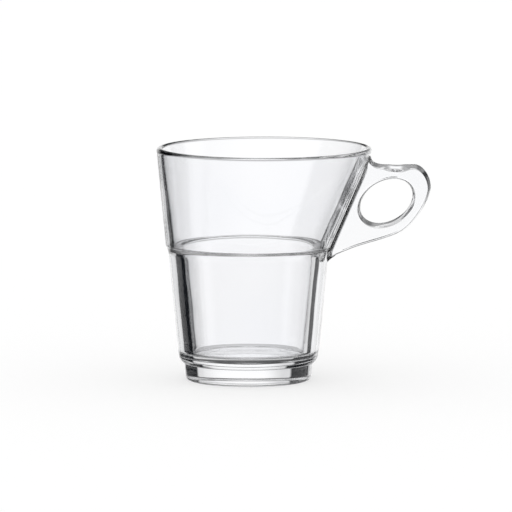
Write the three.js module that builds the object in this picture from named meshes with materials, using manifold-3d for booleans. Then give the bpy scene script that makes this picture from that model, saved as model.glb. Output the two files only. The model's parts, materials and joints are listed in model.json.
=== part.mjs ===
// A clear glass breakfast cup, pressed in one. A thick lower bowl stands on a set-in foot, and the
// upper bowl leans out toward an ear-shaped handle. A ledge inside carries the next cup of a stack:
// its foot drops into the lower bowl and its heel rests on the ledge.
// Millimetres, +Z up. The foot's axis is the Z axis, the table is at zero, the handle points to +X.

import * as THREE from 'three';
import { mergeVertices } from 'three/addons/utils/BufferGeometryUtils.js';
import Module from 'manifold-3d';

// Rim and upper bowl
const cupHeight = 93;
const rimRadius = 42.8; // outside of the lip
const rimShift = 6.4; // of the rim circle's centre, from the foot's axis toward the handle
const rimWall = 2.8;
const rimDepth = 3; // of the ring that the lip is rounded from
const lipRise = 1.8; // of the rounded crest
const lipBulge = 0.3; // of the lip beyond the wall below it

// Shoulder with its ledge
const shoulderHeight = 54;
const shoulderWall = 3.6;
const ledgeWidth = 3.3;
const ledgeRound = 0.8;
const stepInset = 1; // of the lower bowl's outside from the upper bowl's
const stepDrop = 2;

// Lower bowl, base and foot
const floorHeight = 11;
const floorWall = 5.9; // of the lower bowl at the floor
const floorRound = 4;
const heelHeight = 6.8;
const heelOverhang = 2.1; // of the heel beyond the foot
const heelRound = 1.4;
const footRadius = 25.7;
const footDraft = 0.3;
const footRound = 1.2;
const nestingClearance = 0.4; // of a stacked cup's foot in the lower bowl
const recessRadius = 21; // of the hollow under the foot
const recessDepth = 0.6;
const recessRun = 0.8;

// Handle plate and its finger hole
const handleThickness = 9;
const handleDraft = 1.4; // of the plate's edges, from its middle plane to its faces
const handleLand = 1; // undrafted width along the middle plane
const fingerLength = 22.2; // of the hole's narrow waist
const fingerWidth = 15.8;
const fingerTilt = 30; // degrees, up toward the outside
const fingerOut = 14.4; // of the hole's centre from the wall
const fingerDrop = 21.5; // of the hole's centre below the rim

// Handle outline, from the hole's centre, the rim and the shoulder. The outline and the hole keep their
// proportion to the upper bowl: their sizes hold where it is as tall as this span.
const handleSpan = 39;
const topRise = 14.7; // of the flat top edge above the hole's centre
const topCurve = 5.6; // run of the curve from the rim to the top edge
const noseOut = 17.7; // of the outermost point from the hole's centre
const noseRise = 5.7;
const noseRound = 6.6; // run of the curve from the top edge to the outermost point
const bellyOut = 5.5; // of the underside's outer end from the hole's centre
const bellyDrop = 12.5;
const bellySlope = 0.54;
const archOut = 6.6; // of the underside's inner end from the shoulder
const archDrop = 2.2;
const archSlope = 0.465;
const toeDrop = 7.1; // of the lowest point on the wall below the ledge
const thumbOut = 4.1; // of the thumb's hollow from the hole's centre
const thumbDepth = 1; // of the hollow below the drafted edge, at each face
const thumbBite = 0.15; // of the hollow below the top edge, at the middle plane
const thumbRadius = 14;
const flareRadius = 3; // of the root's fillet against the wall
const flareBite = 0.1; // of the root's fillet into the plate
const wallGap = 0.3; // between the handle's root and the wall

// Fineness of round shapes
const facets = 64;
const roundSteps = 4;
const curveSteps = 10;
const edgeSteps = 2;
const weld = 1e-4; // corners closer than this are one

const seamMargin = 0.9; // from the handle's toe to the joint of the two bowls
const rimSeam = cupHeight - rimDepth;
const toeHeight = shoulderHeight - scaled(toeDrop);
const bowlSeam = toeHeight - seamMargin;
const baseSeam = floorHeight + floorRound;
const boreRadius = footRadius + nestingClearance;
const shoulderInner = boreRadius + ledgeWidth;
const shoulderRadius = shoulderInner + shoulderWall;
const stepHeight = shoulderHeight - stepDrop;
const heelRadius = footRadius + heelOverhang;
const rightAngle = Math.PI / 2;

const wasm = await Module();
wasm.setup();

function along(value, start, end) {
  return start[1] + ((end[1] - start[1]) * (value - start[0])) / (end[0] - start[0]);
}

function scaled(size) {
  return (size * (cupHeight - shoulderHeight)) / handleSpan;
}

function upperOuter(height) {
  return along(height, [shoulderHeight, shoulderRadius], [rimSeam, rimRadius - lipBulge]);
}

function upperInner(height) {
  return along(height, [shoulderHeight, shoulderInner], [rimSeam, rimRadius - lipBulge - rimWall]);
}

function lowerOuter(height) {
  const heel = [heelHeight + heelRound, heelRadius];
  return along(height, heel, [stepHeight, shoulderRadius - stepInset]);
}

function lowerInner(height) {
  const floor = [floorHeight, lowerOuter(floorHeight) - floorWall];
  return along(height, floor, [shoulderHeight, boreRadius]);
}

function leanAt(height) {
  return Math.max(0, along(height, [shoulderHeight, 0], [cupHeight, rimShift]));
}

function arc(centre, radii, from, to) {
  return Array.from({ length: roundSteps + 1 }, (_, step) => {
    const angle = from + ((to - from) * step) / roundSteps;
    return [centre[0] + radii[0] * Math.cos(angle), centre[1] + radii[1] * Math.sin(angle)];
  });
}

// Turns a profile of [radius, height] pairs, then leans what is above the shoulder toward the handle.
function turned(profile) {
  const points = profile.map(([radius, height]) => new THREE.Vector2(radius, height));
  const geometry = new THREE.LatheGeometry(points, facets).rotateX(rightAngle);
  const position = geometry.getAttribute('position');
  for (let i = 0; i < position.count; i += 1) {
    position.setX(i, position.getX(i) + leanAt(position.getZ(i)));
  }
  geometry.computeVertexNormals();
  return geometry;
}

function closed(profile) {
  return turned([...profile, profile[0]]);
}

function solidOf(geometry) {
  const bare = geometry.index ? geometry.toNonIndexed() : geometry.clone();
  bare.deleteAttribute('normal');
  bare.deleteAttribute('uv');
  const merged = mergeVertices(bare, weld);
  const triVerts = new Uint32Array(merged.index.array);
  const vertProperties = merged.getAttribute('position').array;
  return new wasm.Manifold(new wasm.Mesh({ numProp: 3, vertProperties, triVerts }));
}

function geometryOf(solid) {
  const { vertProperties, triVerts } = solid.getMesh();
  const geometry = new THREE.BufferGeometry();
  geometry.setAttribute('position', new THREE.BufferAttribute(vertProperties, 3));
  geometry.setIndex(new THREE.BufferAttribute(triVerts, 1));
  geometry.computeVertexNormals();
  return geometry;
}

function rimGeometry() {
  const half = (rimWall + lipBulge) / 2;
  const crest = arc([rimRadius - half, cupHeight - lipRise], [half, lipRise], 0, 2 * rightAngle);
  return closed([[upperOuter(rimSeam), rimSeam], ...crest, [upperInner(rimSeam), rimSeam]]);
}

function upperBowlGeometry() {
  const round = [ledgeRound, ledgeRound];
  const corner = [shoulderInner - ledgeRound, shoulderHeight + ledgeRound];
  const edge = [boreRadius + ledgeRound, shoulderHeight - ledgeRound];
  return closed([
    [lowerOuter(bowlSeam), bowlSeam],
    [lowerOuter(stepHeight), stepHeight],
    [shoulderRadius, shoulderHeight],
    [upperOuter(rimSeam), rimSeam],
    [upperInner(rimSeam), rimSeam],
    ...arc(corner, round, 0, -rightAngle),
    ...arc(edge, round, rightAngle, 2 * rightAngle),
    [lowerInner(bowlSeam), bowlSeam],
  ]);
}

function lowerBowlGeometry() {
  return closed([
    [lowerOuter(baseSeam), baseSeam],
    [lowerOuter(bowlSeam), bowlSeam],
    [lowerInner(bowlSeam), bowlSeam],
    [lowerInner(baseSeam), baseSeam],
  ]);
}

function baseGeometry() {
  const heel = [heelRadius - heelRound, heelHeight + heelRound];
  const corner = [lowerInner(baseSeam) - floorRound, baseSeam];
  return turned([
    [0, heelHeight],
    ...arc(heel, [heelRound, heelRound], -rightAngle, 0),
    [lowerOuter(baseSeam), baseSeam],
    ...arc(corner, [floorRound, floorRound], 0, -rightAngle),
    [0, floorHeight],
  ]);
}

function footGeometry() {
  const edge = [footRadius - footDraft - footRound, footRound];
  return turned([
    [0, recessDepth],
    [recessRadius, recessDepth],
    [recessRadius + recessRun, 0],
    ...arc(edge, [footRound, footRound], -rightAngle, 0),
    [footRadius, heelHeight],
    [0, heelHeight],
  ]);
}

const holeZ = cupHeight - scaled(fingerDrop);
const holeX = leanAt(holeZ) + upperOuter(holeZ) + scaled(fingerOut);
const topHeight = holeZ + scaled(topRise);

// The plate's edge on its middle plane, carried into the wall, where the bowl's outside trims it.
function handleOutline() {
  const rootX = footRadius;
  const rimEdge = leanAt(rimSeam) + rimRadius;
  const top = { x: rimEdge + scaled(topCurve), z: topHeight };
  const nose = { x: holeX + scaled(noseOut), z: holeZ + scaled(noseRise) };
  const belly = { x: holeX + scaled(bellyOut), z: holeZ - scaled(bellyDrop) };
  const arch = { x: shoulderRadius + scaled(archOut), z: shoulderHeight - scaled(archDrop) };
  const toe = { x: lowerOuter(toeHeight), z: toeHeight };
  const noseRun = scaled(noseRound);
  const noseFall = top.z - nose.z;
  const bellyEase = (nose.x - belly.x) / 2;
  const archEase = (belly.x - arch.x) / 4;
  const toeEase = (arch.x - toe.x) / 3;
  const shape = new THREE.Shape();
  shape.moveTo(rootX, rimSeam - wallGap);
  shape.lineTo(rimEdge, rimSeam - wallGap);
  shape.quadraticCurveTo(rimEdge, top.z, top.x, top.z);
  shape.lineTo(nose.x - noseRun, top.z);
  shape.bezierCurveTo(
    nose.x - noseRun / 2, top.z,
    nose.x, nose.z + noseFall / 2,
    nose.x, nose.z,
  );
  shape.bezierCurveTo(
    nose.x, nose.z - noseFall / 2,
    belly.x + bellyEase, belly.z + bellyEase * bellySlope,
    belly.x, belly.z,
  );
  shape.bezierCurveTo(
    belly.x - archEase, belly.z - archEase * bellySlope,
    arch.x + archEase, arch.z + archEase * archSlope,
    arch.x, arch.z,
  );
  shape.bezierCurveTo(
    arch.x - toeEase, arch.z - toeEase * archSlope,
    toe.x + toeEase / 3, toe.z + toeEase,
    toe.x, toe.z,
  );
  shape.lineTo(rootX, toe.z);
  shape.closePath();
  return shape;
}

// Stands an extrusion of an XZ outline upright, centred on the handle's middle plane.
function upright(shape, depth, options) {
  const settings = { depth, curveSegments: curveSteps, bevelEnabled: false, ...options };
  const geometry = new THREE.ExtrudeGeometry(shape, settings);
  return geometry.rotateX(rightAngle).translate(0, depth / 2, 0);
}

function platePiece() {
  const shape = handleOutline();
  const tilt = THREE.MathUtils.degToRad(fingerTilt);
  const radii = [scaled(fingerLength) / 2, scaled(fingerWidth) / 2];
  const waist = new THREE.EllipseCurve(holeX, holeZ, ...radii, 0, 4 * rightAngle, false, tilt);
  shape.holes.push(new THREE.Path(waist.getPoints(4 * curveSteps).slice(1)));
  return solidOf(upright(shape, handleLand, {
    bevelEnabled: true,
    bevelThickness: (handleThickness - handleLand) / 2,
    bevelSize: handleDraft,
    bevelOffset: -handleDraft,
    bevelSegments: edgeSteps,
  }));
}

// The thumb's hollow in the top edge of one face, a shallow round groove that falls outward.
function thumbHollow(side) {
  const run = (handleThickness - handleLand) / 2;
  const fall = handleDraft + thumbDepth;
  const slope = Math.atan2(fall, run);
  const groove = new THREE.CylinderGeometry(thumbRadius, thumbRadius, handleThickness, facets);
  groove.rotateX(-side * slope);
  const y = (handleLand + run) / 2 + thumbRadius * Math.sin(slope);
  const z = topHeight - thumbBite - fall / 2 + thumbRadius * Math.cos(slope);
  return solidOf(groove.translate(holeX + scaled(thumbOut), side * y, z));
}

// The fillet on both sides of the root, which follows the wall and stays inside the outline.
function flarePiece() {
  const half = handleThickness / 2 - flareBite;
  const wide = half + flareRadius;
  const shape = new THREE.Shape();
  shape.moveTo(-shoulderWall, -wide);
  shape.lineTo(0, -wide);
  shape.absarc(flareRadius, -wide, flareRadius, 2 * rightAngle, rightAngle, true);
  shape.lineTo(flareRadius, half);
  shape.absarc(flareRadius, wide, flareRadius, -rightAngle, -2 * rightAngle, true);
  shape.lineTo(-shoulderWall, wide);
  shape.closePath();
  const depth = rimSeam - toeHeight;
  const settings = { depth, curveSegments: curveSteps / 2, bevelEnabled: false };
  const geometry = new THREE.ExtrudeGeometry(shape, settings).translate(0, 0, toeHeight);
  const wallTop = leanAt(rimSeam) + upperOuter(rimSeam);
  const lean = (wallTop - shoulderRadius) / (rimSeam - shoulderHeight);
  const shear = new THREE.Matrix4().makeShear(0, 0, 0, 0, lean, 0);
  geometry.applyMatrix4(shear).translate(shoulderRadius - lean * shoulderHeight, 0, 0);
  return solidOf(geometry).intersect(solidOf(upright(handleOutline(), 2 * wide)));
}

// The bowl's outside, filled to the axis and grown by the gap, from below the toe to above the rim.
function wallEnvelope() {
  const bottom = bowlSeam - seamMargin;
  return solidOf(turned([
    [0, bottom],
    [lowerOuter(bottom) + wallGap, bottom],
    [lowerOuter(stepHeight) + wallGap, stepHeight],
    [shoulderRadius + wallGap, shoulderHeight],
    [upperOuter(rimSeam) + wallGap, rimSeam],
    [rimRadius + wallGap, cupHeight],
    [0, cupHeight],
  ]));
}

function handleGeometry() {
  const plate = platePiece().subtract(thumbHollow(-1)).subtract(thumbHollow(1));
  return geometryOf(plate.add(flarePiece()).subtract(wallEnvelope()));
}

function piece(name, geometry) {
  const glass = new THREE.MeshStandardMaterial({
    name: 'clear glass',
    color: 0xeef1f4,
    roughness: 0.03,
    metalness: 0,
    transparent: true,
    opacity: 0.3,
  });
  const mesh = new THREE.Mesh(geometry, glass);
  mesh.name = name;
  return mesh;
}

const cup = new THREE.Group();
cup.name = 'breakfast_cup';
cup.add(
  piece('rim', rimGeometry()),
  piece('upper_bowl', upperBowlGeometry()),
  piece('lower_bowl', lowerBowlGeometry()),
  piece('base', baseGeometry()),
  piece('foot', footGeometry()),
  piece('handle', handleGeometry()),
);

export default cup;
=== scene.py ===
import json
import math

import bmesh
import bpy
from mathutils import Matrix, Vector, geometry
from mathutils.bvhtree import BVHTree

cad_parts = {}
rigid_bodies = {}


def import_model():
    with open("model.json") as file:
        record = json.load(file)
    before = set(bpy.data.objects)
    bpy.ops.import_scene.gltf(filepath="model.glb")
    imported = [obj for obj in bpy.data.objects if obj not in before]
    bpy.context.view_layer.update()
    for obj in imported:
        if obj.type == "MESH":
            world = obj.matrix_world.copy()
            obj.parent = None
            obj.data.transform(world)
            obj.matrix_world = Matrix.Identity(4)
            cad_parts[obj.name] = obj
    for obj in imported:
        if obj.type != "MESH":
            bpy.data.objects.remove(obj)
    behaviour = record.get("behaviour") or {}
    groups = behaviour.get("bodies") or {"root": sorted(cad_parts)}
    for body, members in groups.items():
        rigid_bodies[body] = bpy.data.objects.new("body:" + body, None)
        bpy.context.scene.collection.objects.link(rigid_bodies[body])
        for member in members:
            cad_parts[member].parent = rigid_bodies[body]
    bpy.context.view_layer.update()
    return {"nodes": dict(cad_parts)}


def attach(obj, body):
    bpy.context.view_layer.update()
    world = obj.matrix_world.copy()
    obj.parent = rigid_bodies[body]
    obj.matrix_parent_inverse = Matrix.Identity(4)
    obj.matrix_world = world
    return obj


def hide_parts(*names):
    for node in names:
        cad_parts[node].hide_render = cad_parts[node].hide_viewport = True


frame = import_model()
print("frame loaded:", ", ".join(frame["nodes"]))

mm = 0.001
tiny = 1e-7  # m; corners nearer than this are one
fullTurn = 2 * math.pi
quarterTurn = math.pi / 2
scene = bpy.context.scene
scene.view_settings.view_transform = "Standard"

# the photograph's viewing angle: a long lens, a little above the rim
cameraSetup = {
    "eye": (0.003, -2.760, 0.379),
    "aim": (0.003, 0.0, 0.0494),
    "lens": 490.6,  # mm
    "sensor": 36.0,
    "clip": (0.1, 100.0),
}


def makeCamera():
    data = bpy.data.cameras.new("camera")
    data.sensor_width = cameraSetup["sensor"]
    data.lens = cameraSetup["lens"]
    data.clip_start, data.clip_end = cameraSetup["clip"]
    camera = bpy.data.objects.new("camera", data)
    eye = Vector(cameraSetup["eye"])
    camera.location = eye
    camera.rotation_mode = "QUATERNION"
    camera.rotation_quaternion = (Vector(cameraSetup["aim"]) - eye).to_track_quat("-Z", "Y")
    scene.collection.objects.link(camera)
    scene.camera = camera
    return camera


camera = makeCamera()
print("camera set")


# a shader socket that takes arithmetic, and makes the nodes that come after it
class Wire:
    def __init__(self, tree, socket=None):
        self.tree = tree
        self.socket = socket

    def node(self, kind, settings=None, inputs=None, output=0):
        made = self.tree.nodes.new(kind)
        for key, value in (settings or {}).items():
            setattr(made, key, value)
        for key, value in (inputs or {}).items():
            if isinstance(value, Wire):
                self.tree.links.new(value.socket, made.inputs[key])
            else:
                made.inputs[key].default_value = value
        return Wire(self.tree, made.outputs[output] if len(made.outputs) else None)

    def maths(self, operation, first, second):
        return self.node("ShaderNodeMath", {"operation": operation}, {0: first, 1: second})

    def __add__(self, other):
        return self.maths("ADD", self, other)

    def __sub__(self, other):
        return self.maths("SUBTRACT", self, other)

    def __rsub__(self, other):
        return self.maths("SUBTRACT", other, self)

    def __mul__(self, other):
        return self.maths("MULTIPLY", self, other)

    def __abs__(self):
        return self.maths("ABSOLUTE", self, 0.0)

    __radd__ = __add__
    __rmul__ = __mul__

    # 0 before start, 1 after end, soft between them
    def rise(self, start, end):
        return self.node("ShaderNodeMapRange", {"interpolation_type": "SMOOTHSTEP"},
                         {"Value": self, "From Min": start, "From Max": end})


def newMaterial(name):
    material = bpy.data.materials.new(name)
    material.use_nodes = True
    material.node_tree.nodes.clear()
    return material, Wire(material.node_tree)


# pressed and fire-polished: slow waves from the mould, a fine skin, and a colour that is a little
# uneven in the melt
glassLook = {
    "tint": (0.988, 0.990, 1.0, 1.0),
    "tintDeep": (0.974, 0.979, 0.994, 1.0),
    "ior": 1.52,
    "detail": 1.0,  # of the noise that makes the patches
    "tintScale": 30.0,  # patches per metre
    "tintRange": (0.3, 0.7),  # of the noise, from one colour to the other
    "waveScale": 55.0,
    "waveLift": 0.10 * mm,
    "skinScale": 800.0,
    "skinLift": 0.0012 * mm,
    "dullRange": (0.45, 0.75),
    "roughness": (0.0, 0.02),
}


def makeGlass():
    material, start = newMaterial("clear_glass")
    place = start.node("ShaderNodeTexCoord", output="Object")

    def patches(scale):
        inputs = {"Vector": place, "Scale": scale, "Detail": glassLook["detail"]}
        return start.node("ShaderNodeTexNoise", None, inputs, "Fac")

    waves, skin = patches(glassLook["waveScale"]), patches(glassLook["skinScale"])
    colour = start.node("ShaderNodeMix", {"data_type": "RGBA"}, {
        0: patches(glassLook["tintScale"]).rise(*glassLook["tintRange"]),
        6: glassLook["tint"],  # 6, 7 and 2 are the sockets for colours
        7: glassLook["tintDeep"],
    }, 2)
    smooth, dull = glassLook["roughness"]
    height = waves * glassLook["waveLift"] + skin * glassLook["skinLift"]
    bump = start.node("ShaderNodeBump", None, {"Strength": 1.0, "Distance": 1.0, "Height": height})
    shader = start.node("ShaderNodeBsdfPrincipled", None, {
        "Base Color": colour,
        "Roughness": smooth + skin.rise(*glassLook["dullRange"]) * (dull - smooth),
        "IOR": glassLook["ior"],
        "Transmission Weight": 1.0,
        "Normal": bump,
    })
    start.node("ShaderNodeOutputMaterial", None, {"Surface": shader})
    return material


# where two pieces of the one pressing meet there is no surface
def makeJoint():
    material, start = newMaterial("glass_joint")
    shader = start.node("ShaderNodeBsdfPrincipled", None,
                        {"Base Color": glassLook["tint"], "Alpha": 0.0})
    start.node("ShaderNodeOutputMaterial", None, {"Surface": shader})
    return material


glass = makeGlass()
joint = makeJoint()
glassSlot, jointSlot, plateSlot = 0, 1, 2  # places in a mesh's list; the last is for work only
print("glass mixed")

# lengths in mm; the turned pieces share these
cup = {
    "height": 93.0,
    "shoulder": 54.0,
    "lean": 6.4,  # of the rim's middle toward the handle
    "outerLow": 33.0,  # the upper bowl's radii at the shoulder and at the rim's seam
    "innerLow": 29.8,
    "rimSeam": 90.0,
    "outerTop": 42.35,
    "innerTop": 39.85,
    "step": 52.0,  # the lower bowl's radii at the step and at the heel
    "stepRadius": 32.0,
    "heelEdge": 8.2,
    "heelRadius": 27.8,
    "ledgeRadius": 26.1,
    "floor": 11.0,
    "floorRadius": 22.17,
    "bowlSeam": 46.0,
    "baseSeam": 15.0,
    "heel": 6.8,
    "footRadius": 25.7,
    "steps": 192,
    "roundSteps": 10,
    "margin": 0.12,  # beside every corner, so that the long walls shade straight
    "slack": 0.01,  # when a joint's edge is looked for
}


def between(value, start, end):
    return start[1] + (end[1] - start[1]) * (value - start[0]) / (end[0] - start[0])


def upperOuter(z):
    return between(z, (cup["shoulder"], cup["outerLow"]), (cup["rimSeam"], cup["outerTop"]))


def upperInner(z):
    return between(z, (cup["shoulder"], cup["innerLow"]), (cup["rimSeam"], cup["innerTop"]))


def lowerOuter(z):
    return between(z, (cup["heelEdge"], cup["heelRadius"]), (cup["step"], cup["stepRadius"]))


def lowerInner(z):
    return between(z, (cup["floor"], cup["floorRadius"]), (cup["shoulder"], cup["ledgeRadius"]))


def leanMatrix():
    shear = Matrix.Identity(4)
    shear[0][2] = cup["lean"] / (cup["height"] - cup["shoulder"])
    lift = Matrix.Translation((0, 0, cup["shoulder"] * mm))
    return lift @ shear @ lift.inverted()


# corners are radius, height and rounding; the profile is turned about the foot's axis
def turnProfile(corners, closed=True):
    shape = bmesh.new()
    verts = [shape.verts.new((radius * mm, 0, z * mm)) for radius, z, _ in corners]
    for vert, following in zip(verts, verts[1:] + verts[:1] if closed else verts[1:]):
        shape.edges.new((vert, following))
    for vert, (_, _, rounding) in zip(verts, corners):
        if rounding:
            bmesh.ops.bevel(shape, geom=[vert], affect="VERTICES", offset=rounding * mm,
                            segments=cup["roundSteps"], profile=0.5, material=-1)  # 0.5 is round
    margin = cup["margin"] * mm
    shortest = 4 * margin  # of the edges that get one at both ends
    for edge in [edge for edge in shape.edges if edge.calc_length() > shortest]:
        first, second = edge.verts
        _, middle = bmesh.utils.edge_split(edge, first, margin / edge.calc_length())
        rest = next(other for other in middle.link_edges if second in other.verts)
        bmesh.utils.edge_split(rest, second, margin / rest.calc_length())
    bmesh.ops.spin(shape, geom=shape.verts[:] + shape.edges[:], cent=(0, 0, 0), axis=(0, 0, 1),
                   angle=fullTurn, steps=cup["steps"], use_merge=True)
    bmesh.ops.remove_doubles(shape, verts=shape.verts[:], dist=tiny)
    bmesh.ops.recalc_face_normals(shape, faces=shape.faces[:])
    above = [vert for vert in shape.verts if vert.co.z > cup["shoulder"] * mm]
    bmesh.ops.transform(shape, matrix=leanMatrix(), verts=above)
    return shape


# faces that lie in a joint's plane, out to a radius, get the joint's material
def markJoint(shape, z, radius=math.inf):
    reach = (radius + cup["slack"]) * mm
    for face in shape.faces:
        flat = all(abs(vert.co.z - z * mm) < tiny for vert in face.verts)
        if flat and all(vert.co.xy.length < reach for vert in face.verts):
            face.material_index = jointSlot


def finishPiece(shape, name, node):
    for face in shape.faces:
        face.smooth = face.material_index == glassSlot
    for edge in shape.edges:
        edge.smooth = len({face.material_index for face in edge.link_faces}) == 1
    mesh = bpy.data.meshes.new(name)
    shape.to_mesh(mesh)
    shape.free()
    mesh.materials.append(glass)
    mesh.materials.append(joint)
    piece = bpy.data.objects.new(name, mesh)
    scene.collection.objects.link(piece)
    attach(piece, "root")
    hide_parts(node)
    print("made", name, len(mesh.polygons), "faces")
    return piece


rim = {
    "outerRound": 1.6,
    "innerRound": 0.75,
}


def makeRim():
    low, top = cup["rimSeam"], cup["height"]
    shape = turnProfile([
        (upperOuter(low), low, 0),
        (upperOuter(top), top, rim["outerRound"]),
        (upperInner(top), top, rim["innerRound"]),
        (upperInner(low), low, 0),
    ])
    markJoint(shape, low)
    finishPiece(shape, "glass_rim", "rim")


upperBowl = {
    "stepRound": 1.7,
    "shoulderRound": 0.35,
    "ledgeRound": 1.5,
    "coveRound": 0.4,
}


def makeUpperBowl():
    low, top, ledge = cup["bowlSeam"], cup["rimSeam"], cup["shoulder"]
    shape = turnProfile([
        (lowerOuter(low), low, 0),
        (cup["stepRadius"], cup["step"], upperBowl["stepRound"]),
        (cup["outerLow"], ledge, upperBowl["shoulderRound"]),
        (upperOuter(top), top, 0),
        (upperInner(top), top, 0),
        (cup["innerLow"], ledge, upperBowl["coveRound"]),
        (cup["ledgeRadius"], ledge, upperBowl["ledgeRound"]),
        (lowerInner(low), low, 0),
    ])
    markJoint(shape, low)
    markJoint(shape, top)
    return finishPiece(shape, "glass_upper_bowl", "upper_bowl")


def makeLowerBowl():
    low, top = cup["baseSeam"], cup["bowlSeam"]
    shape = turnProfile([
        (lowerOuter(low), low, 0),
        (lowerOuter(top), top, 0),
        (lowerInner(top), top, 0),
        (lowerInner(low), low, 0),
    ])
    markJoint(shape, low)
    markJoint(shape, top)
    finishPiece(shape, "glass_lower_bowl", "lower_bowl")


base = {
    "heelIn": 26.2,  # where the underside turns up, and the slope that follows
    "heelInRound": 0.8,
    "heelOut": 27.75,
    "heelUp": 8.8,
    "heelOutRound": 1.0,
    "floorRound": 1.3,
}


def makeBase():
    low, top = cup["heel"], cup["baseSeam"]
    shape = turnProfile([
        (0, low, 0),
        (cup["footRadius"], low, 0),
        (base["heelIn"], low, base["heelInRound"]),
        (base["heelOut"], base["heelUp"], base["heelOutRound"]),
        (lowerOuter(top), top, 0),
        (lowerInner(top), top, 0),
        (lowerInner(cup["floor"]), cup["floor"], base["floorRound"]),
        (0, cup["floor"], 0),
    ], closed=False)
    markJoint(shape, low, cup["footRadius"])
    markJoint(shape, top)
    finishPiece(shape, "glass_base", "base")


foot = {
    "hollow": 0.6,
    "hollowRadius": 14.0,
    "hollowRound": 6.0,
    "ringIn": 22.4,
    "ringInRound": 1.0,
    "ringOut": 25.05,
    "ringOutRound": 1.3,
}


def makeFoot():
    top = cup["heel"]
    shape = turnProfile([
        (0, foot["hollow"], 0),
        (foot["hollowRadius"], foot["hollow"], foot["hollowRound"]),
        (foot["ringIn"], 0, foot["ringInRound"]),
        (foot["ringOut"], 0, foot["ringOutRound"]),
        (cup["footRadius"], top, 0),
        (0, top, 0),
    ], closed=False)
    markJoint(shape, top)
    finishPiece(shape, "glass_foot", "foot")


makeRim()
bowl = makeUpperBowl()
makeLowerBowl()
makeBase()
makeFoot()


handle = {
    "hole": (54.89, 71.5),  # centre, x and z
    "waist": (22.2, 15.8),  # the hole's length and width at half the thickness
    "tilt": 30.0,
    "holeSteps": 96,
    "thickness": 9.0,
    "land": 1.0,  # straight part of the edge
    "draft": 1.4,
    "draftShare": (0.75, 0.3, 0.15),  # at the sides, more above and less below, more at the nose
    "fillet": 4.0,
    "bite": 0.25,  # of the fillet into the plate and the wall
    "rootDepth": 1.5,  # below the wall's surface
    "thumbOut": 4.1,
    "thumbRadius": 14.0,
    "thumbFall": 2.4,
    "thumbBite": 0.38,
    "thumbSteps": 192,
    "top": 86.2,
    # the edge on the middle plane, from the rim round the nose to the toe: knot, two handles, knot
    "edge": [
        ((48.71, 89.7), (48.71, 87.37), (50.58, 86.2), (54.31, 86.2)),
        ((54.31, 86.2), (58.0, 86.2), (62.0, 86.2), (66.0, 86.2)),
        ((66.0, 86.2), (69.3, 86.2), (72.59, 81.7), (72.59, 77.2)),
        ((72.59, 77.2), (72.59, 72.7), (66.5, 62.3), (60.39, 59.0)),
        ((60.39, 59.0), (55.2, 56.2), (44.8, 54.2), (39.6, 51.8)),
        ((39.6, 51.8), (36.9, 50.54), (32.4, 49.6), (31.51, 46.9)),
    ],
    "curveSteps": 24,
    "voxel": 0.25,
    "easing": 0.5,  # share of a round of smoothing
    "smoothing": 13,
    "rootSmoothing": 14,  # more rounds along the root and in the thumb's hollow
    "rootZone": (5.5, 50.0, 86.0),  # out from the wall, and the heights
    "thumbSmoothing": 9,
    "thumbZone": (6.5, 4.0),  # beside the hollow's middle and below the top
}


def wallOuter(z):
    if z > cup["shoulder"]:
        return upperOuter(z)
    if z > cup["step"]:
        return between(z, (cup["step"], cup["stepRadius"]), (cup["shoulder"], cup["outerLow"]))
    return lowerOuter(z)


def leanAt(z):
    return max(0.0, between(z, (cup["shoulder"], 0.0), (cup["height"], cup["lean"])))


# the plate's edge, closed below the wall's surface
def plateOutline():
    points = []
    for curve in handle["edge"]:
        knots = [Vector((x, 0, z)) for x, z in curve]
        points += geometry.interpolate_bezier(*knots, handle["curveSteps"])[:-1]
    rimEnd, toe = handle["edge"][0][0], handle["edge"][-1][-1]
    points.append(Vector((toe[0], 0, toe[1])))
    for z in (toe[1], cup["step"], cup["shoulder"], rimEnd[1]):
        points.append(Vector((leanAt(z) + wallOuter(z) - handle["rootDepth"], 0, z)))
    return [point * mm for point in points]


def drawOutline(shape):
    verts = [shape.verts.new(point) for point in plateOutline()]
    for vert, following in zip(verts, verts[1:] + verts[:1]):
        shape.edges.new((vert, following))


def fillFlat(shape):
    bmesh.ops.triangle_fill(shape, use_beauty=True, use_dissolve=False, edges=shape.edges[:],
                            normal=(0, -1, 0))
    for face in shape.faces:
        if face.normal.y > 0:
            face.normal_flip()


def moveMade(made, shape, depth):
    verts = [part for part in made["geom"] if isinstance(part, bmesh.types.BMVert)]
    bmesh.ops.translate(shape, vec=(0, depth, 0), verts=verts)


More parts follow.
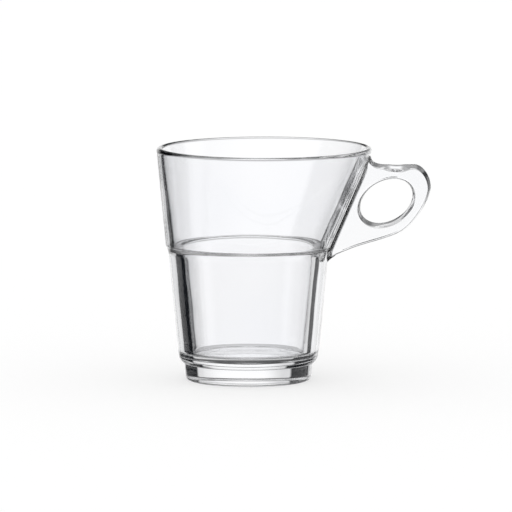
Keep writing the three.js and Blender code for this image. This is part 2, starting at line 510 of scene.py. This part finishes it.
# half of the plate from its face to its middle, then the other half
def plateShape():
    shape = bmesh.new()
    drawOutline(shape)
    hx, hz = handle["hole"]
    length, width = handle["waist"]
    place = (Matrix.Translation((hx * mm, 0, hz * mm))
             @ Matrix.Rotation(-math.radians(handle["tilt"]), 4, "Y")
             @ Matrix.Diagonal((length / 2 * mm, 1, width / 2 * mm, 1))
             @ Matrix.Rotation(quarterTurn, 4, "X"))
    bmesh.ops.create_circle(shape, cap_ends=False, segments=handle["holeSteps"], radius=1.0,
                            matrix=place)
    fillFlat(shape)
    half, land = handle["thickness"] / 2 * mm, handle["land"] / 2 * mm
    bmesh.ops.translate(shape, vec=(0, -land, 0), verts=shape.verts[:])
    bmesh.ops.inset_region(shape, faces=shape.faces[:], thickness=handle["draft"] * mm,
                           depth=half - land, use_boundary=True, use_even_offset=True)
    side, tilt, nose = handle["draftShare"]
    # the face's corners are drawn back by the share that suits the way their edge looks
    for edge in shape.edges:
        face, waist = sorted((vert.co for vert in edge.verts), key=lambda place: place.y)
        if waist.y - face.y > land:
            inward = Vector((face.x - waist.x, 0, face.z - waist.z))
            way = inward.normalized()
            reach = min(max((waist.x / mm - hx) / length * 2, 0.0), 1.0)
            share = side - tilt * way.z + nose * reach * max(0.0, -way.x)
            face.xz = waist.xz + inward.xz * share
    border = [edge for edge in shape.edges if edge.is_boundary]
    moveMade(bmesh.ops.extrude_edge_only(shape, edges=border), shape, land)
    whole = shape.verts[:] + shape.edges[:] + shape.faces[:]
    bmesh.ops.mirror(shape, geom=whole, merge_dist=10 * tiny, axis="Y")
    bmesh.ops.remove_doubles(shape, verts=shape.verts[:], dist=tiny)
    bmesh.ops.recalc_face_normals(shape, faces=shape.faces[:])
    return shape


# a cylinder that takes the hollow for the thumb out of one side of the top edge
def thumbShape(side):
    run = (handle["thickness"] - handle["land"]) / 2
    slope = math.atan2(handle["thumbFall"], run)
    radius = handle["thumbRadius"]
    x = handle["hole"][0] + handle["thumbOut"]
    y = (handle["land"] + run) / 2 + radius * math.sin(slope)
    z = handle["top"] - handle["thumbBite"] - handle["thumbFall"] / 2 + radius * math.cos(slope)
    place = (Matrix.Translation((x * mm, side * y * mm, z * mm))
             @ Matrix.Rotation(quarterTurn - side * slope, 4, "X"))
    shape = bmesh.new()
    bmesh.ops.create_cone(shape, cap_ends=True, segments=handle["thumbSteps"], radius1=radius * mm,
                          radius2=radius * mm, depth=2 * handle["thickness"] * mm, matrix=place)
    return shape


fillet = {
    "levels": (46, 46.5, 47, 48, 49, 50, 51, 52, 53, 54, 60, 66,
               72, 78, 82, 84, 86, 87, 88, 89, 89.6, 90),
    "fadeTop": (82.5, 7.4),  # it runs out round at the rim and at the toe
    "fadeToe": (51.5, 4.8),
    "least": 0.01,  # squared, of its size at the ends
    "steps": 12,
    "slab": 12.0,  # half the thickness of the block that trims it
}


def filletShare(z):
    top, toe = fillet["fadeTop"], fillet["fadeToe"]
    over = max(0.0, (z - top[0]) / top[1], (toe[0] - z) / toe[1])
    return math.sqrt(max(fillet["least"], 1 - over * over))


# the fillet of the root: one level's loop after another up the wall, bridged
def filletShape():
    shape = bmesh.new()
    loops = []
    for z in fillet["levels"]:
        share = filletShare(z)
        wall = wallOuter(z) - handle["bite"]
        radius = handle["fillet"] * share
        cy = (handle["thickness"] / 2 - handle["bite"]) * share + radius
        turn = math.asin(cy / (wall + radius))
        cx = (wall + radius) * math.cos(turn)
        side = [(wall - handle["rootDepth"], wall * math.sin(turn))]
        for i in range(fillet["steps"] + 1):
            angle = math.pi + turn + (quarterTurn - turn) * i / fillet["steps"]
            side.append((cx + radius * math.cos(angle), cy + radius * math.sin(angle)))
        ring = side + [(x, -y) for x, y in reversed(side)]
        verts = [shape.verts.new(((x + leanAt(z)) * mm, y * mm, z * mm)) for x, y in ring]
        loops.append([shape.edges.new((v, w)) for v, w in zip(verts, verts[1:] + verts[:1])])
    for low, high in zip(loops, loops[1:]):
        bmesh.ops.bridge_loops(shape, edges=low + high)
    bmesh.ops.holes_fill(shape, edges=loops[0] + loops[-1], sides=0)
    bmesh.ops.recalc_face_normals(shape, faces=shape.faces[:])
    return shape


# a slab of the plate's outline without its hole, which trims the fillet
def outlineSlab():
    shape = bmesh.new()
    drawOutline(shape)
    fillFlat(shape)
    bmesh.ops.translate(shape, vec=(0, -fillet["slab"] * mm, 0), verts=shape.verts[:])
    made = bmesh.ops.extrude_face_region(shape, geom=shape.faces[:])
    moveMade(made, shape, 2 * fillet["slab"] * mm)
    bmesh.ops.recalc_face_normals(shape, faces=shape.faces[:])
    return shape


def workObject(shape, name):
    mesh = bpy.data.meshes.new(name)
    shape.to_mesh(mesh)
    shape.free()
    work = bpy.data.objects.new(name, mesh)
    scene.collection.objects.link(work)
    return work


def drop(work):
    mesh = work.data
    bpy.data.objects.remove(work)
    bpy.data.meshes.remove(mesh)


# the work object takes the shape that its modifiers give
def settle(work):
    graph = bpy.context.evaluated_depsgraph_get()
    mesh = bpy.data.meshes.new_from_object(work.evaluated_get(graph))
    old = work.data
    work.modifiers.clear()
    work.data = mesh
    bpy.data.meshes.remove(old)


def combine(work, tool, operation):
    change = work.modifiers.new("combine", "BOOLEAN")
    change.operation = operation
    change.solver = "EXACT"
    change.object = tool
    settle(work)
    drop(tool)


def inThumb(place):
    across, down = handle["thumbZone"]
    middle = handle["hole"][0] + handle["thumbOut"]
    return abs(place.x - middle) < across and place.z > handle["top"] - down


def inRoot(place):
    out, low, high = handle["rootZone"]
    return low < place.z < high and place.x - leanAt(place.z) - wallOuter(place.z) < out


# plate, thumb hollows and fillet in one skin of small even faces, with its edges eased
def roughHandle():
    plate = workObject(plateShape(), "plate_work")
    for side in (-1, 1):
        combine(plate, workObject(thumbShape(side), "thumb_work"), "DIFFERENCE")
    root = workObject(filletShape(), "fillet_work")
    combine(root, workObject(outlineSlab(), "slab_work"), "INTERSECT")
    both = bmesh.new()
    both.from_mesh(plate.data)
    both.from_mesh(root.data)
    both.to_mesh(plate.data)
    both.free()
    drop(root)
    remesh = plate.modifiers.new("even", "REMESH")
    remesh.mode = "VOXEL"
    remesh.voxel_size = handle["voxel"] * mm
    settle(plate)
    shape = bmesh.new()
    shape.from_mesh(plate.data)
    zones = {
        "smoothing": shape.verts[:],
        "rootSmoothing": [vert for vert in shape.verts if inRoot(vert.co / mm)],
        "thumbSmoothing": [vert for vert in shape.verts if inThumb(vert.co / mm)],
    }
    for rounds, verts in zones.items():
        for _ in range(handle[rounds]):
            bmesh.ops.smooth_vert(shape, verts=verts, factor=handle["easing"],
                                  use_axis_x=True, use_axis_y=True, use_axis_z=True)
    shape.to_mesh(plate.data)
    shape.free()
    print("handle roughed out:", len(plate.data.polygons), "faces")
    return plate


# the bowl's wall and the plate in one mesh, both cut along the line where they meet
def cutMeeting(plate):
    both = bmesh.new()
    both.from_mesh(bowl.data)
    count = len(both.faces)
    both.from_mesh(plate.data)
    both.faces.ensure_lookup_table()
    for face in both.faces:
        face.select_set(face.index >= count)
    for face in both.faces[count:]:
        face.material_index = plateSlot
    work = workObject(both, "meet_work")
    for other in bpy.context.view_layer.objects:
        other.select_set(other is work)
    bpy.context.view_layer.objects.active = work
    bpy.ops.object.mode_set(mode="EDIT")
    bpy.ops.mesh.intersect(mode="SELECT_UNSELECT", separate_mode="NONE", solver="EXACT")
    bpy.ops.object.mode_set(mode="OBJECT")
    met = bmesh.new()
    met.from_mesh(work.data)
    drop(work)
    bmesh.ops.triangulate(met, faces=[face for face in met.faces if len(face.verts) > 4])
    met.faces.ensure_lookup_table()
    met.faces.index_update()
    met.edges.index_update()
    return met


# the wall's faces under the plate
def findWindow(met, plate):
    tree = BVHTree.FromObject(plate, bpy.context.evaluated_depsgraph_get())
    found = set()
    for face in met.faces:
        centre = face.calc_center_median()
        if face.material_index == glassSlot and centre.x > 0:
            place, normal, _, _ = tree.find_nearest(centre)
            if (centre - place).dot(normal) < 0:
                found.add(face.index)
    return found


# the plate's faces outside the wall: all that the nose reaches without crossing the meeting line
def findOutside(met):
    nose = max((face for face in met.faces if face.material_index == plateSlot),
               key=lambda face: face.calc_center_median().x)
    found, waiting = {nose.index}, [nose]
    while waiting:
        for edge in waiting.pop().edges:
            if len(edge.link_faces) > 2:
                continue
            for face in edge.link_faces:
                if face.index not in found:
                    found.add(face.index)
                    waiting.append(face)
    return found


# the handle is closed by a turned copy of the wall's own faces under it, so that the two joints
# are the same
def makeHandle():
    plate = roughHandle()
    met = cutMeeting(plate)
    window, outside = findWindow(met, plate), findOutside(met)
    drop(plate)
    part = met.copy()
    for face in part.faces:
        face.material_index = jointSlot if face.index in window else glassSlot
        if face.index in window:
            face.normal_flip()
    kept = window | outside
    gone = [face for face in part.faces if face.index not in kept]
    bmesh.ops.delete(part, geom=gone, context="FACES")
    bmesh.ops.remove_doubles(part, verts=part.verts[:], dist=tiny)
    slivers = set()
    for edge in part.edges:
        if len(edge.link_faces) > 2:
            joints = [face for face in edge.link_faces if face.material_index == jointSlot]
            slivers.add(min(joints, key=lambda face: face.calc_area()))
    bmesh.ops.delete(part, geom=list(slivers), context="FACES")
    bmesh.ops.holes_fill(part, edges=[edge for edge in part.edges if edge.is_boundary], sides=0)
    for face in met.faces:
        if face.index in window:
            face.material_index = jointSlot
    rest = [face for face in met.faces if face.material_index == plateSlot]
    bmesh.ops.delete(met, geom=rest, context="FACES")
    bmesh.ops.remove_doubles(met, verts=met.verts[:], dist=tiny)
    for shape, name in ((met, "bowl"), (part, "handle")):
        print(name, "open edges:", sum(not edge.is_manifold for edge in shape.edges))
    met.to_mesh(bowl.data)
    met.free()
    finishPiece(part, "glass_handle", "handle")


makeHandle()

# a pale table that keeps the cup's shadow
floorLook = {
    "size": 20.0,
    "colour": (0.4, 0.4, 0.4, 1.0),
    "lift": 0.605,  # brings it to white for the camera
}


def makeFloor():
    shape = bmesh.new()
    bmesh.ops.create_grid(shape, x_segments=1, y_segments=1, size=floorLook["size"])
    mesh = bpy.data.meshes.new("floor")
    shape.to_mesh(mesh)
    shape.free()
    material, start = newMaterial("pale_floor")
    path = start.node("ShaderNodeLightPath", output="Is Camera Ray")
    matt = start.node("ShaderNodeBsdfDiffuse", None, {"Color": floorLook["colour"]})
    glow = start.node("ShaderNodeEmission", None, {"Strength": floorLook["lift"]})
    lifted = start.node("ShaderNodeAddShader", None, {0: matt, 1: glow})
    both = start.node("ShaderNodeMixShader", None, {0: path, 1: matt, 2: lifted})
    start.node("ShaderNodeOutputMaterial", None, {"Surface": both})
    mesh.materials.append(material)
    floor = bpy.data.objects.new("floor", mesh)
    scene.collection.objects.link(floor)
    floor.visible_transmission = False
    floor.visible_glossy = False


makeFloor()

# the light tent that the glass shows, in degrees from the lens's axis to the right and up: bright
# behind the cup, with grey and dark cards; soft is the half width of a card's edge, and a paired
# card stands on both sides of the axis
tent = {
    "reach": 30.0,  # m
    "segments": (96, 48),
    "bright": 1.05,
    "dark": (0.008, 0.009, 0.011, 1.0),
    "leftFade": (8.0, 25.0, 0.70),  # from, to, and the level that is left
    "rightFade": (14.0, 46.0, 0.70),
    "cards": [
        {"turn": (-88, -25), "up": (-32, 3), "soft": 1.6, "depth": 1.0},  # left
        {"turn": (-62, -31), "up": (1, 28), "soft": 1.6, "depth": 1.0},
        {"turn": (33, 46.5), "up": (-45, -1.5), "soft": 1.2, "depth": 1.0},  # right
        {"turn": (25, 60), "up": (-42, -9), "soft": 3.0, "depth": 0.85},
        {"turn": (42, 78), "up": (0, 22), "soft": 1.5, "depth": 1.0},
        {"turn": (60, 78), "up": (-9, 1), "soft": 1.5, "depth": 1.0},
        {"turn": (-110, 110), "up": (17, 50), "soft": 3.5, "depth": 0.94},  # above
        {"turn": (-110, 110), "up": (-25, -10), "soft": 2.5, "depth": 0.43},  # below
        {"turn": (9, 110), "up": (-42, -25), "soft": 3.0, "depth": 0.6, "paired": True},
        {"turn": (-110, 110), "up": (-100, -40), "soft": 4.0, "depth": 0.72},
        # behind the lens
        {"turn": (108, 200), "up": (-20, 8), "soft": 8.0, "depth": 0.97, "paired": True},
    ],
}


def tentLight(start):
    place = start.node("ShaderNodeTexCoord", output="Object")
    way = start.node("ShaderNodeVectorMath", {"operation": "NORMALIZE"}, {0: place})
    x, y, z = [start.node("ShaderNodeSeparateXYZ", None, {0: way}, axis) for axis in "XYZ"]
    turn = start.maths("ARCTAN2", x, 0 - z) * math.degrees(1)
    up = start.maths("ARCSINE", y, 0.0) * math.degrees(1)
    light = 1.0
    for side, (near, far, level) in ((0 - turn, tent["leftFade"]), (turn, tent["rightFade"])):
        light = (1 - side.rise(near, far) * (1 - level)) * light
    for card in tent["cards"]:
        cover, soft = card["depth"], card["soft"]
        sideways = abs(turn) if "paired" in card else turn
        for across, (low, high) in ((sideways, card["turn"]), (up, card["up"])):
            past = across.rise(low - soft, low + soft)
            cover = past * (1 - across.rise(high - soft, high + soft)) * cover
        light = light * (1 - cover)
    return light


def makeTent():
    shape = bmesh.new()
    around, over = tent["segments"]
    bmesh.ops.create_uvsphere(shape, u_segments=around, v_segments=over, radius=tent["reach"])
    mesh = bpy.data.meshes.new("tent")
    shape.to_mesh(mesh)
    shape.free()
    material, start = newMaterial("tent_cloth")
    bright = start.node("ShaderNodeEmission", None, {"Strength": tent["bright"]})
    dark = start.node("ShaderNodeEmission", None, {"Color": tent["dark"]})
    both = start.node("ShaderNodeMixShader", None, {0: tentLight(start), 1: dark, 2: bright})
    start.node("ShaderNodeOutputMaterial", None, {"Surface": both})
    material.cycles.emission_sampling = "NONE"
    mesh.materials.append(material)
    cloth = bpy.data.objects.new("tent", mesh)
    scene.collection.objects.link(cloth)
    cloth.parent = camera
    distance = (Vector(cameraSetup["aim"]) - Vector(cameraSetup["eye"])).length
    cloth.location = (0, 0, -distance)
    cloth.visible_camera = False
    cloth.visible_diffuse = False
    cloth.visible_shadow = False


makeTent()

skyLook = {
    "colour": (1.0, 1.0, 1.0, 1.0),
    "strength": 1.0,
}


def makeWorld():
    world = bpy.data.worlds.new("studio")
    world.use_nodes = True
    world.node_tree.nodes.clear()
    start = Wire(world.node_tree)
    sky = start.node("ShaderNodeBackground", None,
                     {"Color": skyLook["colour"], "Strength": skyLook["strength"]})
    start.node("ShaderNodeOutputWorld", None, {"Surface": sky})
    scene.world = world


makeWorld()
# enough bounces for light that runs round inside thick glass
scene.cycles.max_bounces = 48
scene.cycles.transmission_bounces = 48
scene.cycles.glossy_bounces = 24
scene.cycles.transparent_max_bounces = 64
print("stage lit")
